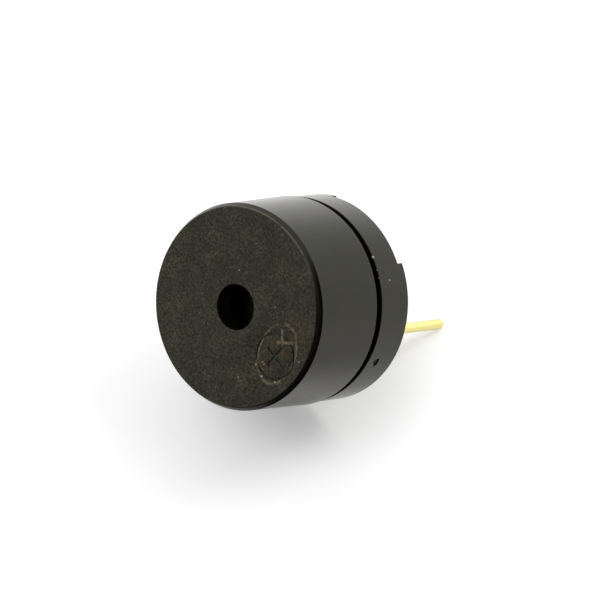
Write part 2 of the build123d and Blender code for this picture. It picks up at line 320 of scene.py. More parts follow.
def cap_sheets():
    """The wall of the cap is turned from its section, with its step lowered at the nibs. The face,
    the channel of the ring (turned about the mark's centre) and the sunk plus are added to it."""
    outline = rounded([
        (face_inner, body_height, 0),
        (sound_hole_radius, body_height, hole_edge_radius),
        (sound_hole_radius, neck_z, inner_radius),
        (neck_radius, neck_z, inner_radius),
        (neck_radius, chamber_top_z, inner_radius),
        (chamber_radius, chamber_top_z, cavity_corner),
        (chamber_radius, spigot_top_z, 0),
        (chamber_radius + nib_width, spigot_top_z, 0),
        (chamber_radius + nib_width, spigot_top_z, 0),
        (skirt_bore_radius, spigot_top_z, inner_radius),
        (skirt_bore_radius, cap_rim_z, inner_radius),
        (cap_rim_radius, cap_rim_z, rim_break),
        (bevel_low_radius, body_height - bevel_height, bevel_foot_round),
        (cap_face_radius - bevel_width, body_height, bevel_top_round),
        (face_outer, body_height, 0),
    ])
    nibs = [(math.pi / 4 + k * math.pi / 2, nib_span) for k in range(4)]
    angles, in_nib = full_turn(turn_steps, nibs)
    step_row = np.flatnonzero(np.isclose(outline[:, 1], spigot_top_z))[0]
    nib_rows = np.isin(np.arange(len(outline)), (step_row, step_row + 1))
    z = outline[:, 1][:, None] - nib_height * nib_rows[:, None] * in_nib
    wall = turned(outline[:, 0], z, angles)

    low, high = mark_ring_radius + np.array([-0.5, 0.5]) * mark_ring_width
    lip, ground = ring_lip, -mark_ring_depth
    section = np.array([
        (high + lip, 0), (high, -lip / 3), (high - lip, lip + ground), (high - 2 * lip, ground),
        (low + 2 * lip, ground), (low + lip, lip + ground), (low, -lip / 3), (low - lip, 0)])
    channel = turned(*section.T, even_angles(ring_steps)) + (*mark_centre, body_height)
    sunk = np.stack([plus_outline(*level) for level in (
        (lip, 0), (0, lip), (-lip / 2, plus_depth))])
    return [
        grid(wall),
        flat([wall[-1], wall[0], channel[0]], body_height),
        flat([channel[-1], sunk[0]], body_height),
        grid(channel),
        grid(sunk),
        flat([sunk[-1]], body_height - plus_depth),
    ]


cap = weld("cap_shell", cap_sheets(), ["cap"])

# %% [markdown]
# ## The base
# The base is one moulded ring: a flange below, a spigot that reaches up into the cap, and three
# bores one above the other for the board, the magnet and the support ring. Two gaps in its bottom
# rim leave an arc-shaped foot under each pin. A boolean could cut the gaps, but in a turned surface
# they are simpler: inside a gap, no point may lie lower than the height of the foot. A small oval
# pit on the flange shows where the plastic was let in. There the grid is finer, and a formula moves
# its points in and out.

# %% Base
glue_bottom_z = cap_rim_z + 0.75
glue_top_z = glue_bottom_z + 0.6
glue_radius = spigot_radius - 0.15
lead_in = 0.15
key_radius, key_lead = 0.4, 0.2
key_low_z = board_bottom_z - key_lead
gate_angle, gate_z = math.radians(3.4), 1.77
gate_half_length, gate_half_height, gate_depth, gate_nub = 0.24, 0.17, 0.09, 0.03
gate_rows, gate_columns, gate_margin, nub_sharpness = 33, 61, 2, 2.6
wall_tolerance = 0.001


def key_reach(angles):
    """Radius of the lower bore at each angle: it comes in to the near side of the key's circle."""
    reach = np.sqrt(np.maximum(key_radius**2 - (board_bore_radius * np.cos(angles)) ** 2, 0))
    at_key = (reach > 0) & (np.sin(angles) > 0)
    return np.where(at_key, board_bore_radius * np.sin(angles) - reach, board_bore_radius)


def base_sheets():
    """The section is turned. Inside a gap a low point is lifted to the foot height, and on the rows
    of the key the bore comes in. Where the gate's oval is e times its size, the wall sinks by
    depth * exp(-e^4), less (depth + nub) * exp(-(sharpness * e)^2) for the torn nub."""
    gate_wall = [(flange_radius, gate_z + t * gate_half_height, 0)
                 for t in np.linspace(-gate_margin, gate_margin, gate_rows)]
    outline = rounded([
        (board_bore_radius, 0, inner_radius),
        (flange_radius, 0, edge_break),
        *gate_wall,
        (flange_radius, flange_top_z, rim_break),
        (spigot_radius, flange_top_z, inner_radius),
        (spigot_radius, glue_bottom_z, 0),
        (glue_radius, glue_bottom_z, 0),
        (glue_radius, glue_top_z, 0),
        (spigot_radius, glue_top_z, 0),
        (spigot_radius, spigot_top_z, lead_in),
        (ring_seat_radius, spigot_top_z, inner_radius),
        (ring_seat_radius, ring_seat_z, inner_radius),
        (magnet_bore_radius, ring_seat_z, inner_radius),
        (magnet_bore_radius, board_top_z, inner_radius),
        (board_bore_radius, board_top_z, 0),
        (board_bore_radius, key_low_z, 0),
        (board_bore_radius, key_low_z, 0),
    ])
    gate_steps = np.linspace(-gate_margin, gate_margin, gate_columns) * gate_half_length
    angles, in_gap = full_turn(turn_steps, [(math.pi / 2, foot_gap), (-math.pi / 2, foot_gap)],
                               gate_angle + gate_steps / flange_radius)
    z = np.where(in_gap, np.maximum(outline[:, 1][:, None], foot_height), outline[:, 1][:, None])
    r = np.repeat(outline[:, :1], len(angles), 1)
    r[-3:-1] = np.minimum(r[-3:-1], key_reach(angles))
    swing = (angles - gate_angle + math.pi) % (2 * math.pi) - math.pi
    off_gate = np.hypot(swing * flange_radius / gate_half_length, (z - gate_z) / gate_half_height)
    pit = gate_depth * np.exp(-off_gate**4)
    pit = pit - np.exp(-(nub_sharpness * off_gate)**2) * (gate_depth + gate_nub)
    r = np.where(r > flange_radius - wall_tolerance, r - pit, r)
    return [grid(turned(r, z, angles), closed_rows=True)]


base = weld("base_ring", base_sheets(), ["base"])

# %% [markdown]
# ## The pins
# Each pin is one turned piece: a shaft with a softly rounded point, a collar that the resin grips,
# and a tapered stub through the board. They are surfaces of revolution about their own axes. A
# cylinder with a bevel would do for the shaft, but one section holds the point and the collar too.

# %% Pins
pin_steps = 96
tip_radius, tip_length = 0.16, 0.25
tip_slope_z = pin_tip_z + tip_length
stub_foot_radius, stub_top_radius = pin_radius - 0.02, pin_radius - 0.07
point_round, slope_round, root_round, collar_round, top_round = 0.1, 0.2, 0.02, 0.03, 0.04


def pin_sheets(x):
    """The half section of a pin from its point to its top, turned about the line at x."""
    outline = rounded([
        (0, pin_tip_z, 0),
        (tip_radius, pin_tip_z, point_round),
        (pin_radius, tip_slope_z, slope_round),
        (pin_radius, resin_face_z, root_round),
        (collar_radius, resin_face_z, collar_round),
        (collar_radius, board_bottom_z, collar_round),
        (stub_foot_radius, board_bottom_z, root_round),
        (stub_top_radius, pin_top_z, top_round),
        (0, pin_top_z, 0),
    ])
    return [grid(turned(*outline.T, even_angles(pin_steps)) + (x, 0, 0))]


pins = [weld(f"terminal_{side}", pin_sheets(x), [f"pin_{side}"])
        for side, x in (("positive", pin_x), ("negative", -pin_x))]

# %% [markdown]
# ## The resin seal
# Resin was poured into the base round the pins. Before it set, it crept up the wall and the pins,
# and these curved rims catch the light. Each rim is a turned surface whose height falls with the
# square of the distance from the wall. A flat sheet with two openings lies between them, and the
# back follows the board, the rivet head and the key of the base.

# %% Resin seal
seal_creep, seal_rim = 0.08, 0.45
pin_creep, pin_rim = 0.06, 0.5
rim_steps = 10
rivet_radius, rivet_depth, rivet_break = 1.2, 0.22, 0.12


def creeping(from_wall, rim, creep):
    """Height of the face at distance d from what the resin wets: it is creep * (1 - d / rim)^2
    lower, because the buzzer lay on its face when it was poured."""
    return resin_face_z - creep * (1 - from_wall / rim) ** 2


def resin_sheets():
    """The wall with its rim, a collar round each pin, the rivet's cup and the flats between."""
    angles = even_angles(turn_steps)
    from_wall = np.linspace(seal_rim, 0, rim_steps)
    r = np.append(board_bore_radius - from_wall, [board_bore_radius] * 3)
    rim = creeping(from_wall, seal_rim, seal_creep)
    z = np.append(rim, [key_low_z, key_low_z, board_bottom_z])
    r = np.repeat(r[:, None], len(angles), 1)
    r[-2:] = np.minimum(r[-2:], key_reach(angles))
    wall = turned(r, z, angles)

    around = even_angles(pin_steps)
    from_pin = np.linspace(pin_rim, 0, rim_steps)
    r = np.append(pin_radius + from_pin, [pin_radius, collar_radius, collar_radius])
    rim = creeping(from_pin, pin_rim, pin_creep)
    z = np.append(rim, [resin_face_z, resin_face_z, board_bottom_z])
    collars = [turned(r, z, around) + (x, 0, 0) for x in (pin_x, -pin_x)]

    r = np.array([rivet_radius, rivet_radius, rivet_radius - rivet_break])
    z = board_bottom_z - np.array([0, rivet_depth - rivet_break, rivet_depth])
    cup = turned(r, z, around)
    return [
        *[grid(sheet) for sheet in (wall, *collars, cup)],
        flat([wall[0], *(collar[0] for collar in collars)], resin_face_z),
        flat([wall[-1], cup[0], *(collar[-1] for collar in collars)], board_bottom_z),
        flat([cup[-1]], board_bottom_z - rivet_depth),
    ]


resin = weld("resin_pour", resin_sheets(), ["resin_seal"])

# %% [markdown]
# ## The coil
# The coil is about twenty turns high and many layers deep. Only its outermost layer can ever be
# seen, so that layer is real: the surface swells and sinks with each turn of wire, and the swell
# climbs by one wire for each turn, as a winding does.

# %% Coil winding
coil_low, coil_high = box_mm("coil_winding")
tube_radius = 1.48
wire_pitch = 0.1
rows_per_wire, coil_steps = 8, 120


def coil_sheets():
    """Outside, the radius is R - (w / 2)(1 - |cos(pi z / w + a / 2)|) for wire width w and angle a,
    which joins up after a full turn. The ends and the bore are plain."""
    angles = even_angles(coil_steps)
    height = coil_high[2] - coil_low[2]
    z = np.linspace(0, height, round(height / wire_pitch) * rows_per_wire + 1)[:, None]
    swell = np.abs(np.cos(math.pi * z / wire_pitch + angles / 2))
    r = coil_high[0] - wire_pitch / 2 * (1 - swell)
    bore = np.full((1, coil_steps), tube_radius)
    z = np.concatenate([[[coil_low[2]]], coil_low[2] + z, [[coil_high[2]]]])
    return [grid(turned(np.concatenate([bore, r, bore]), z, angles), closed_rows=True)]


coil = weld("coil_turns", coil_sheets(), ["coil_winding"])

# %% [markdown]
# ## The floor
# The photograph shows the buzzer lying down. The shadows say how: it rests on both pin tips and on
# the rim of the base between the feet. Those three points give the plane of the floor. The model
# keeps its own upright frame, so here the floor is the tilted thing.

# %% Floor plane
rim_y = -flange_radius
tip_y = -tip_radius
floor_tilt = math.atan2(tip_y - rim_y, foot_height - pin_tip_z)
floor_normal = np.array([0.0, math.cos(floor_tilt), math.sin(floor_tilt)])
floor_level = floor_normal @ (0, rim_y, foot_height)
floor_reach = 600.0
floor_side = np.array([1.0, 0.0, 0.0])
floor_ahead = np.cross(floor_normal, floor_side)
floor_points = floor_level * floor_normal + floor_reach * np.stack([
    u * floor_side + v * floor_ahead for u, v in ((-1, -1), (1, -1), (1, 1), (-1, 1))])
floor_mesh = bpy.data.meshes.new("floor")
floor_mesh.from_pydata((floor_points * MM).tolist(), [], [(0, 1, 2, 3)])
floor = add("floor", floor_mesh)
print("floor tilt", round(math.degrees(floor_tilt), 1), "degrees, level", round(floor_level, 2))

# %% [markdown]
# ## Shader maths as formulas
# A material is a graph of nodes, and a graph drawn by hand is hard to read back. Here a small class
# wraps the output of a node. Its operators add Math nodes, so a formula such as `1 - mask` builds
# its own graph. Every other node comes from one method: its settings are set first, then its
# sockets get values or links.

# %% Signals
class Signal:
    """The output of a node. Arithmetic with numbers or other signals adds Math nodes."""

    def __init__(self, tree, socket=None):
        self.tree, self.socket = tree, socket

    def node(self, kind, settings=None, sockets=None, out=0):
        """A new node of this tree: its settings, then its sockets by name or number."""
        node = self.tree.nodes.new("ShaderNode" + kind)
        for key, value in (settings or {}).items():
            setattr(node, key, value)
        for key, value in (sockets or {}).items():
            if isinstance(value, Signal):
                self.tree.links.new(value.socket, node.inputs[key])
            else:
                node.inputs[key].default_value = value
        return Signal(self.tree, node.outputs[out])

    def math(self, operation, first, second=0.0):
        """A Math node of one or two numbers."""
        return self.node("Math", {"operation": operation}, {0: first, 1: second})

    def __add__(self, other): return self.math("ADD", self, other)
    def __radd__(self, other): return self.math("ADD", other, self)
    def __sub__(self, other): return self.math("SUBTRACT", self, other)
    def __rsub__(self, other): return self.math("SUBTRACT", other, self)
    def __mul__(self, other): return self.math("MULTIPLY", self, other)
    def __rmul__(self, other): return self.math("MULTIPLY", other, self)
    def __truediv__(self, other): return self.math("DIVIDE", self, other)
    def __pow__(self, other): return self.math("POWER", self, other)
    def __abs__(self): return self.math("ABSOLUTE", self)
    def sine(self): return self.math("SINE", self)
    def larger(self, other): return self.math("MAXIMUM", self, other)

    def limit(self, low, high):
        """The smaller of this and high, and at least low."""
        return self.math("MINIMUM", self, high).larger(low)

    def rise(self, low, high):
        """A smooth step: 0 below low, 1 above high. With low above high it falls instead."""
        down = low > high
        low, high = min(low, high), max(low, high)
        return self.node("MapRange", {"interpolation_type": "SMOOTHSTEP"},
                         {"Value": self, "From Min": low, "From Max": high,
                          "To Min": float(down), "To Max": float(not down)})

    def mix(self, first, second):
        """A colour: first where this is 0, second where it is 1."""
        sockets = {0: self}
        for key, colour in ((6, first), (7, second)):
            sockets[key] = colour if isinstance(colour, Signal) else (*colour, 1.0)
        return self.node("Mix", {"data_type": "RGBA"}, sockets, out=2)

    def vector(self, operation, value, out=0):
        """A Vector Math node of this vector and a vector, or a number for a scale."""
        key = "Scale" if operation == "SCALE" else 1
        return self.node("VectorMath", {"operation": operation}, {0: self, key: value}, out)


# %% [markdown]
# Every pattern is measured on the object. Its coordinates are in metres, so they are scaled once to
# millimetres, and noise then counts grains per millimetre. `Surface` starts a material, gives these
# coordinates, and sets the finished shader.

# %% Start and end of a material
class Surface:
    """A new material with its coordinates in millimetres: place, x, y, z and r from the axis."""

    def __init__(self, name):
        self.material = bpy.data.materials.new(name)
        self.material.use_nodes = True
        tree = self.material.node_tree
        self.shader = tree.nodes["Principled BSDF"]
        start = Signal(tree)
        self.place = start.node("TexCoord", out=3).vector("SCALE", 1 / MM)
        self.x, self.y, self.z = (
            start.node("SeparateXYZ", None, {0: self.place}, out=k) for k in range(3))
        self.r = (self.x * self.x + self.y * self.y) ** 0.5

    def noise(self, grains, detail=2.0, rough=0.5, stretch=(1, 1, 1)):
        """Soft noise about 0.5, with so many grains per millimetre, stretched along the axes."""
        return self.place.node("TexNoise", None, {
            "Vector": self.place.vector("MULTIPLY", stretch),
            "Scale": grains, "Detail": detail, "Roughness": rough})

    def dot(self, centre, radius, soft):
        """1 inside a small ball round a place, falling to 0 over the ball's soft outer part."""
        return self.place.vector("DISTANCE", centre, out=1).rise(radius, radius * (1 - soft))

    def finish(self, colour, roughness, relief=None, **sockets):
        """Sets the shader's sockets, with _ for a space in a name, and returns the material. The
        relief is a height in millimetres, which a Bump node turns into a normal."""
        sockets.update(Base_Color=colour, Roughness=roughness)
        if relief:
            sockets["Normal"] = relief.node("Bump", None, {"Distance": MM, "Height": relief})
        for key, value in sockets.items():
            socket = self.shader.inputs[key.replace("_", " ")]
            if isinstance(value, Signal):
                self.material.node_tree.links.new(value.socket, socket)
            else:
                socket.default_value = (*value, 1.0) if isinstance(value, tuple) else value
        return self.material


def dress(material, *pieces):
    """Puts one material on pieces, in place of what their slots hold."""
    for piece in pieces:
        if not piece.material_slots:
            piece.data.materials.append(material)
        piece.material_slots[0].material = material
    print(material.name, "on", ", ".join(piece.name for piece in pieces))


# %% [markdown]
# ## Black moulded plastic
# One plastic, three finishes. The face comes from a spark-eroded mould, so it is matt and grainy,
# with faint brown and green clouds. The side is smoother and nearly black. The small bevel between
# them is polished and shows as a dark glossy band, and its near-black colour is a painted dark
# reflection. Masks of height and of distance to the axis tell them apart. They need no unwrapping,
# and stay on the shape whatever the view.

# %% Where each finish lies
edge_start = cap_face_radius - bevel_width
edge_seam = (-0.04, -0.01)
face_skin = (0.09, 0.07)
foot_blend = 0.02
sunk_step = (0.012, 0.03)
print("matt inside radius", round(edge_start, 2), "mm, polished to", bevel_height, "mm down")


def at_depth(plastic, none, full):
    """0 at one depth below the face and 1 at another, with a smooth step between them."""
    return plastic.z.rise(body_height - none, body_height - full)


def from_edge(plastic, none, full):
    """0 at one distance outwards from the bevel's top and 1 at another, with a smooth step."""
    return plastic.r.rise(edge_start + none, edge_start + full)


def moulded_masks(plastic):
    """The matt face, the polished edge and the sunk mark, as masks from height and radius."""
    face = at_depth(plastic, *face_skin) * from_edge(plastic, *edge_seam[::-1])
    edge = from_edge(plastic, *edge_seam)
    edge = edge * at_depth(plastic, bevel_height + foot_blend, bevel_height - foot_blend)
    return face, edge, at_depth(plastic, *sunk_step) * face


# %% [markdown]
# The positive side carries a printed mark that has mostly worn away: a thin oval line and a slanted
# plus in dull ochre. Both are distances: the distance to the ellipse, or to the middle line of a
# bar, is compared with half the width of the line. Noise then eats the print as fingers did.

# %% Worn print
oval_centre, oval_turn, oval_half = (3.83, -0.14), math.radians(10.7), (1.24, 1.82)
oval_line, oval_blur, oval_ink = 0.05, 0.02, 0.85
bars_centre, bars_turn = (3.72, 0.60), math.radians(38)
bar_reach, bar_end_blur = 0.75, 0.03
bar_half_width, bar_side_blur = 0.075, 0.025
scratch_contrast, scratch_depth = 2.4, 0.35


def turned_about(surface, centre, turn):
    """Coordinates across the face, measured from a centre and turned by an angle."""
    x, y = surface.x - centre[0], surface.y - centre[1]
    return x * math.cos(turn) + y * math.sin(turn), y * math.cos(turn) - x * math.sin(turn)


def within(distance, limit, blur):
    """1 where a distance is under a limit, blurred a little to both sides."""
    return abs(distance).rise(limit + blur, limit - blur)


def worn_print(plastic):
    """The printed oval and plus, as a mask with holes where the ink is gone."""
    u, v = turned_about(plastic, oval_centre, oval_turn)
    ratio = ((u / oval_half[0]) ** 2 + (v / oval_half[1]) ** 2) ** 0.5
    oval = within(ratio - 1, oval_line, oval_blur)
    p, q = turned_about(plastic, bars_centre, bars_turn)
    bars = [within(along, bar_reach, bar_end_blur) * within(across, bar_half_width, bar_side_blur)
            for along, across in ((p, q), (q, p))]
    patches = plastic.noise(grains=1.9, rough=0.6).rise(0.34, 0.58)
    scratches = plastic.noise(grains=5.0, detail=3.0, rough=0.7)
    scratches = (scratch_contrast * scratches - scratch_depth).limit(0, 1)
    return (oval_ink * oval).larger(bars[0].larger(bars[1])) * patches * scratches


# %% [markdown]
# Specks of dust lie on the face and the flange, and pale specks along the flange's top edge are
# painted glints. Reddish stains lie in and beside the mark. They could be painted, but each is only
# a small ball round a point: what lies inside the ball takes its colour. The torn middle of the
# gate mark is pale in the same way.

# %% Dust and stains
speck_soft, stain_soft = 0.6, 0.8
torn_radius = 0.16


def on_wall(angle, z, radius):
    """A point on the side at an angle in degrees."""
    return radius * math.cos(math.radians(angle)), radius * math.sin(math.radians(angle)), z


dust_and_glint_specks = [((x, y, body_height), size) for x, y, size in (
    (-1.09, 1.83, 0.055), (2.58, -2.99, 0.05), (-4.89, -1.45, 0.06), (2.11, 1.85, 0.05),
    (5.28, 0.52, 0.05), (3.0, -1.3, 0.045), (3.35, -1.15, 0.045), (3.5, -1.2, 0.04),
    (3.1, -1.6, 0.07), (3.8, -1.85, 0.075), (4.7, -1.5, 0.07))]
# The specks on the flange's top edge are painted glints; the one lower down is dust.
dust_and_glint_specks += [(on_wall(angle, z, flange_radius), size) for angle, z, size in (
    (65.2, 2.55, 0.11), (51.2, 1.64, 0.08), (57.5, 2.6, 0.05), (53.0, 2.6, 0.05))]
stains = [((x, y, body_height), size) for x, y, size in (
    (4.1, 1.1, 0.3), (4.1, 0.2, 0.32), (3.98, 0.3, 0.16), (4.45, 0.35, 0.2), (3.25, -1.5, 0.22))]
torn_gate = [(on_wall(math.degrees(gate_angle), gate_z, flange_radius + gate_nub), torn_radius)]


def any_dot(surface, spots, soft):
    """1 inside any of the spots (centre, radius)."""
    return sum(surface.dot(centre, radius, soft) for centre, radius in spots).limit(0, 1)


print("dust specks:", len(dust_and_glint_specks), "stains:", len(stains))

# %% [markdown]
# The face is layered: a black that drifts to a warmer and a greener black, painted shade in the low
# spots of its grain and in the sunk mark, pale specks that are painted glints, then stains and
# print.
# Each layer mixes what is below it with one colour by a mask, so a layer can be moved or left out
# without a change to the others.

# %% Face of the plastic
face_black = (0.033, 0.030, 0.018)
face_warm = (0.043, 0.037, 0.022)
face_green = (0.032, 0.034, 0.020)
glint_grey = (0.20, 0.19, 0.15)
stain_red = (0.085, 0.030, 0.018)
ink_ochre = (0.27, 0.215, 0.115)
glint_cover, stain_cover, ink_cover = 0.5, 0.8, 0.8
cloud_least, cloud_gain = 0.35, 1.3
pit_shade_contrast, pit_shade_depth = 6, 2.1
sunk_painted_shade = 0.6


def face_colour(plastic, cloud, grain, sunk):
    """Clouded black, with painted shade in the grain's low spots and in the sunk mark, then painted
    glints, stains and print.
    """
    tint = plastic.noise(grains=0.6, detail=1.0).rise(0.38, 0.62)
    painted_glints = plastic.noise(grains=11.0, detail=1.0).rise(0.62, 0.74)
    colour = cloud.rise(0.45, 0.65).mix(tint.mix(face_black, face_green), face_warm)
    # Painted shade: darker where the grain's relief is low, and darker in the sunk mark.
    pit_shade = (pit_shade_contrast * grain - pit_shade_depth).limit(0.1, 3)
    shade = (cloud_least + cloud_gain * cloud) * pit_shade * (1 - sunk_painted_shade * sunk)
    colour = colour.vector("SCALE", shade)
    # Painted glints: small pale specks in the colour stand for the sparkle of the grain.
    colour = (glint_cover * painted_glints).mix(colour, glint_grey)
    colour = (stain_cover * any_dot(plastic, stains, stain_soft)).mix(colour, stain_red)
    return (ink_cover * worn_print(plastic)).mix(colour, ink_ochre)


# %% [markdown]
# The polished bevel isn't even. Its upper half is a little duller, and there its colour is painted
# a little lighter as a painted sheen. Its corner with the face carries a painted highlight, a pale
# line, mostly on one side. Two masks find them.

# %% Painted sheen and highlight on the edge
upper_half = (0.24, 0.14)
corner_inside, corner_outside, corner_depth = (-0.07, -0.02), (0.06, 0.01), (0.2, 0.15)
highlight_all_round, highlight_side, highlight_from_y = 0.04, 0.66, (3.8, 5.4)


def edge_sheen_and_highlight(plastic, on_edge):
    """The dull upper half of the bevel, which also gets a painted sheen, and the painted highlight
    on its corner, which is paler towards +Y.
    """
    dull = on_edge * at_depth(plastic, *upper_half)
    corner = from_edge(plastic, *corner_inside) * from_edge(plastic, *corner_outside)
    corner = corner * at_depth(plastic, *corner_depth)
    amount = highlight_all_round + highlight_side * plastic.y.rise(*highlight_from_y)
    return dull, corner * amount * plastic.noise(grains=2.0).rise(0.25, 0.5)


# %% [markdown]
# One material holds all three finishes, for cap and base. The side drifts between a brown and a
# green black. Roughness and a relief of some hundredths of a millimetre do most of the work: under
# a large soft light, black plastic is seen by its sheen far more than by its colour.

# %% Housing plastic
side_brown = (0.009, 0.005, 0.002)
side_green = (0.003, 0.007, 0.001)
# Painted dark reflection: the polished bevel is coloured near black, darker than the side.
edge_dark_reflection = (0.003, 0.003, 0.003)
# Painted sheen and painted highlight: lighter greys for the bevel's upper half and its corner.
edge_sheen_grey = (0.012, 0.011, 0.008)
corner_highlight_grey = (0.14, 0.13, 0.10)
torn_grey = (0.17, 0.16, 0.14)
dust_and_glint_white = (0.62, 0.58, 0.50)
warm_sheen = (1.0, 0.93, 0.73)
side_rough, face_rougher, grain_rougher, edge_smoother = 0.18, 0.42, 0.12, 0.04
sunk_smoother, sheen_cover, dull_rougher, speck_rougher = 0.5, 0.4, 0.2, 0.3
face_relief, side_relief = 0.022, 0.004
plastic_ior = 1.39


def housing_plastic():
    """Face, side and edge mixed by their masks, then the torn gate, the dust and painted glints,
    and the painted sheen and painted highlight of the edge.
    """
    plastic = Surface("housing_plastic")
    on_face, on_edge, sunk = moulded_masks(plastic)
    cloud = plastic.noise(grains=0.9)
    grain = plastic.noise(grains=9.0, rough=0.65)
    side = cloud.rise(0.4, 0.6).mix(side_green, side_brown)
    face = face_colour(plastic, cloud, grain, sunk)
    # The bevel's near-black colour is a painted dark reflection.
    colour = on_edge.mix(on_face.mix(side, face), edge_dark_reflection)
    torn = any_dot(plastic, torn_gate, stain_soft) * plastic.noise(grains=14.0).rise(0.3, 0.5)
    dust_and_glints = any_dot(plastic, dust_and_glint_specks, speck_soft) * plastic.noise(grains=11.0).rise(0.3, 0.55)
    dull, corner_highlight = edge_sheen_and_highlight(plastic, on_edge)
    # Pale specks: dust, and painted glints on the flange's top edge.
    colour = dust_and_glints.mix(torn.mix(colour, torn_grey), dust_and_glint_white)
    # Painted sheen on the bevel's upper half, and a painted highlight on its corner.
    colour = corner_highlight.mix((sheen_cover * dull).mix(colour, edge_sheen_grey), corner_highlight_grey)
    roughness = (side_rough + face_rougher * on_face * (1 - sunk_smoother * sunk)
                 + grain_rougher * (grain - 0.5) * (1 - on_edge)
                 - edge_smoother * on_edge + dull_rougher * dull + speck_rougher * dust_and_glints)
    fine = plastic.noise(grains=6.0, detail=3.0, rough=0.6)
    relief = face_relief * grain * on_face + side_relief * fine * (1 - on_face)
    return plastic.finish(colour, roughness.limit(0.1, 1), relief * (1 - on_edge),
                          IOR=plastic_ior, Specular_Tint=warm_sheen)


dress(housing_plastic(), cap, base)

# %% [markdown]
# ## Metals
# A metal is mostly its reflection, so its finish is its roughness and the lines its maker left:
# drawing lines along the pins, turning rings on the iron core, rolling lines on the diaphragm.
# An image of scratches could be wrapped round them, but noise needs no image. The rings are noise
# that sees only radius and height, the lines are noise stretched along one axis, and a slow cloud
# adds the dull patches of handled metal.

# %% Metals
gold_yellow = (1.0, 0.89, 0.35)
drawn_relief, tooled_relief = 0.0015, 0.004
ring_grains = 14.0


def gold_plating():
    """Plated gold with the lines of wire drawing along the pin."""
    gold = Surface("gold_plating")
    lines = gold.noise(grains=12.0, stretch=(1, 1, 0.03))
    return gold.finish(gold_yellow, 0.12 + 0.16 * lines, drawn_relief * lines, Metallic=1.0)


def worked_metal(name, bright, dull, roughness, marks, patches):
    """A metal that wanders from bright to dull patches, with turned rings or rolled lines."""
    metal = Surface(name)
    if marks == "turned":
        rings = metal.place.node("CombineXYZ", None, {0: metal.r, 2: metal.z})
        lines = rings.node("TexNoise", None, {"Vector": rings, "Scale": ring_grains, "Detail": 2.0})
    else:
        lines = metal.noise(grains=16.0, rough=0.6, stretch=(0.04, 1, 1))
    cloud = metal.noise(grains=1.2, detail=3.0, rough=0.6)
    colour = (patches * cloud.rise(0.4, 0.75)).mix(bright, dull)
    roughness = (roughness + 0.18 * (lines - 0.5) + 0.2 * (cloud - 0.5)).limit(0.08, 1)
    return metal.finish(colour, roughness, tooled_relief * lines, Metallic=1.0)


dress(gold_plating(), *pins)
worked = [
    ("turned_brass", (0.80, 0.60, 0.27), (0.48, 0.30, 0.12), 0.28, "turned", 0.3, ["support_ring"]),
    ("rolled_steel", (0.62, 0.61, 0.58), (0.42, 0.40, 0.36), 0.22, "rolled", 0.3, ["diaphragm"]),
    ("plated_iron", (0.64, 0.64, 0.61), (0.40, 0.38, 0.33), 0.32, "turned", 0.5,
     ["armature_disc", "yoke_plate", "pole_core"]),
    ("etched_copper", (0.83, 0.44, 0.28), (0.42, 0.19, 0.10), 0.36, "rolled", 0.6,
     ["pad_positive", "pad_negative"]),
    ("reflowed_tin", (0.74, 0.74, 0.73), (0.50, 0.50, 0.49), 0.24, "turned", 0.5,
     ["solder_positive", "solder_negative"])]
for *finish, names in worked:
    dress(worked_metal(*finish), *(nodes[name] for name in names))

# %% [markdown]
# Enamelled wire is copper under a thin clear lacquer. A second, clear skin could be modelled round
# the wire, but the coat of the shader is that skin: it gives a sharper highlight over the metal.

# %% Enamelled copper
def enamelled_copper():
    """Red copper seen through lacquer, a little darker where the lacquer is thick."""
    wire = Surface("enamelled_copper")
    cloud = wire.noise(grains=3.0)
    colour = cloud.rise(0.3, 0.7).mix((0.80, 0.33, 0.13), (0.55, 0.18, 0.06))
    return wire.finish(colour, 0.3 + 0.2 * cloud, Metallic=1.0, Coat_Weight=1.0,
                       Coat_Roughness=0.08)


dress(enamelled_copper(), coil, nodes["coil_wire_positive"], nodes["coil_wire_negative"])

# %% [markdown]
# ## Magnet, plastics, board, glue and resin
# The magnet is ground ferrite, dark grey with a few smooth chips painted bright as glints. The
# bobbin is pale nylon, the tape amber film and the glue a yellow bead, and one recipe with two
# colours serves all three. The board is pressed laminate, whose weave is the product of two sine
# waves. The seal is black resin that has set with soft waves and tiny pits.

# %% Other finishes
weave_rate = 14.0


def cloudy(name, first, second, roughness, spread=0.15, size=1.5, relief=0.003):
    """A dull material that wanders between two colours, with fine relief of the same grain."""
    stuff = Surface(name)
    cloud = stuff.noise(grains=size, detail=3.0, rough=0.6)
    grain = stuff.noise(grains=8 * size, rough=0.6)
    roughness = (roughness + spread * (grain - 0.5) + spread * (cloud - 0.5)).limit(0.05, 1)
    return stuff.finish(cloud.rise(0.35, 0.68).mix(first, second), roughness, relief * grain)


def ground_ferrite():
    """Dark sintered grains, some of which are torn out by grinding; these chips are smoother, and
    their light grey colour is a painted glint.
    """
    ferrite = Surface("ground_ferrite")
    grain = ferrite.noise(grains=9.0, detail=3.0, rough=0.7)
    chips_and_glints = ferrite.noise(grains=3.5).rise(0.66, 0.72)
    colour = grain.rise(0.3, 0.7).mix((0.030, 0.030, 0.033), (0.055, 0.055, 0.058))
    roughness = (0.55 + 0.3 * (grain - 0.5) - 0.2 * chips_and_glints).limit(0.2, 1)
    # Painted glints: the chips are coloured a light grey.
    return ferrite.finish(chips_and_glints.mix(colour, (0.16, 0.16, 0.16)), roughness,
                          0.012 * grain - 0.02 * chips_and_glints)


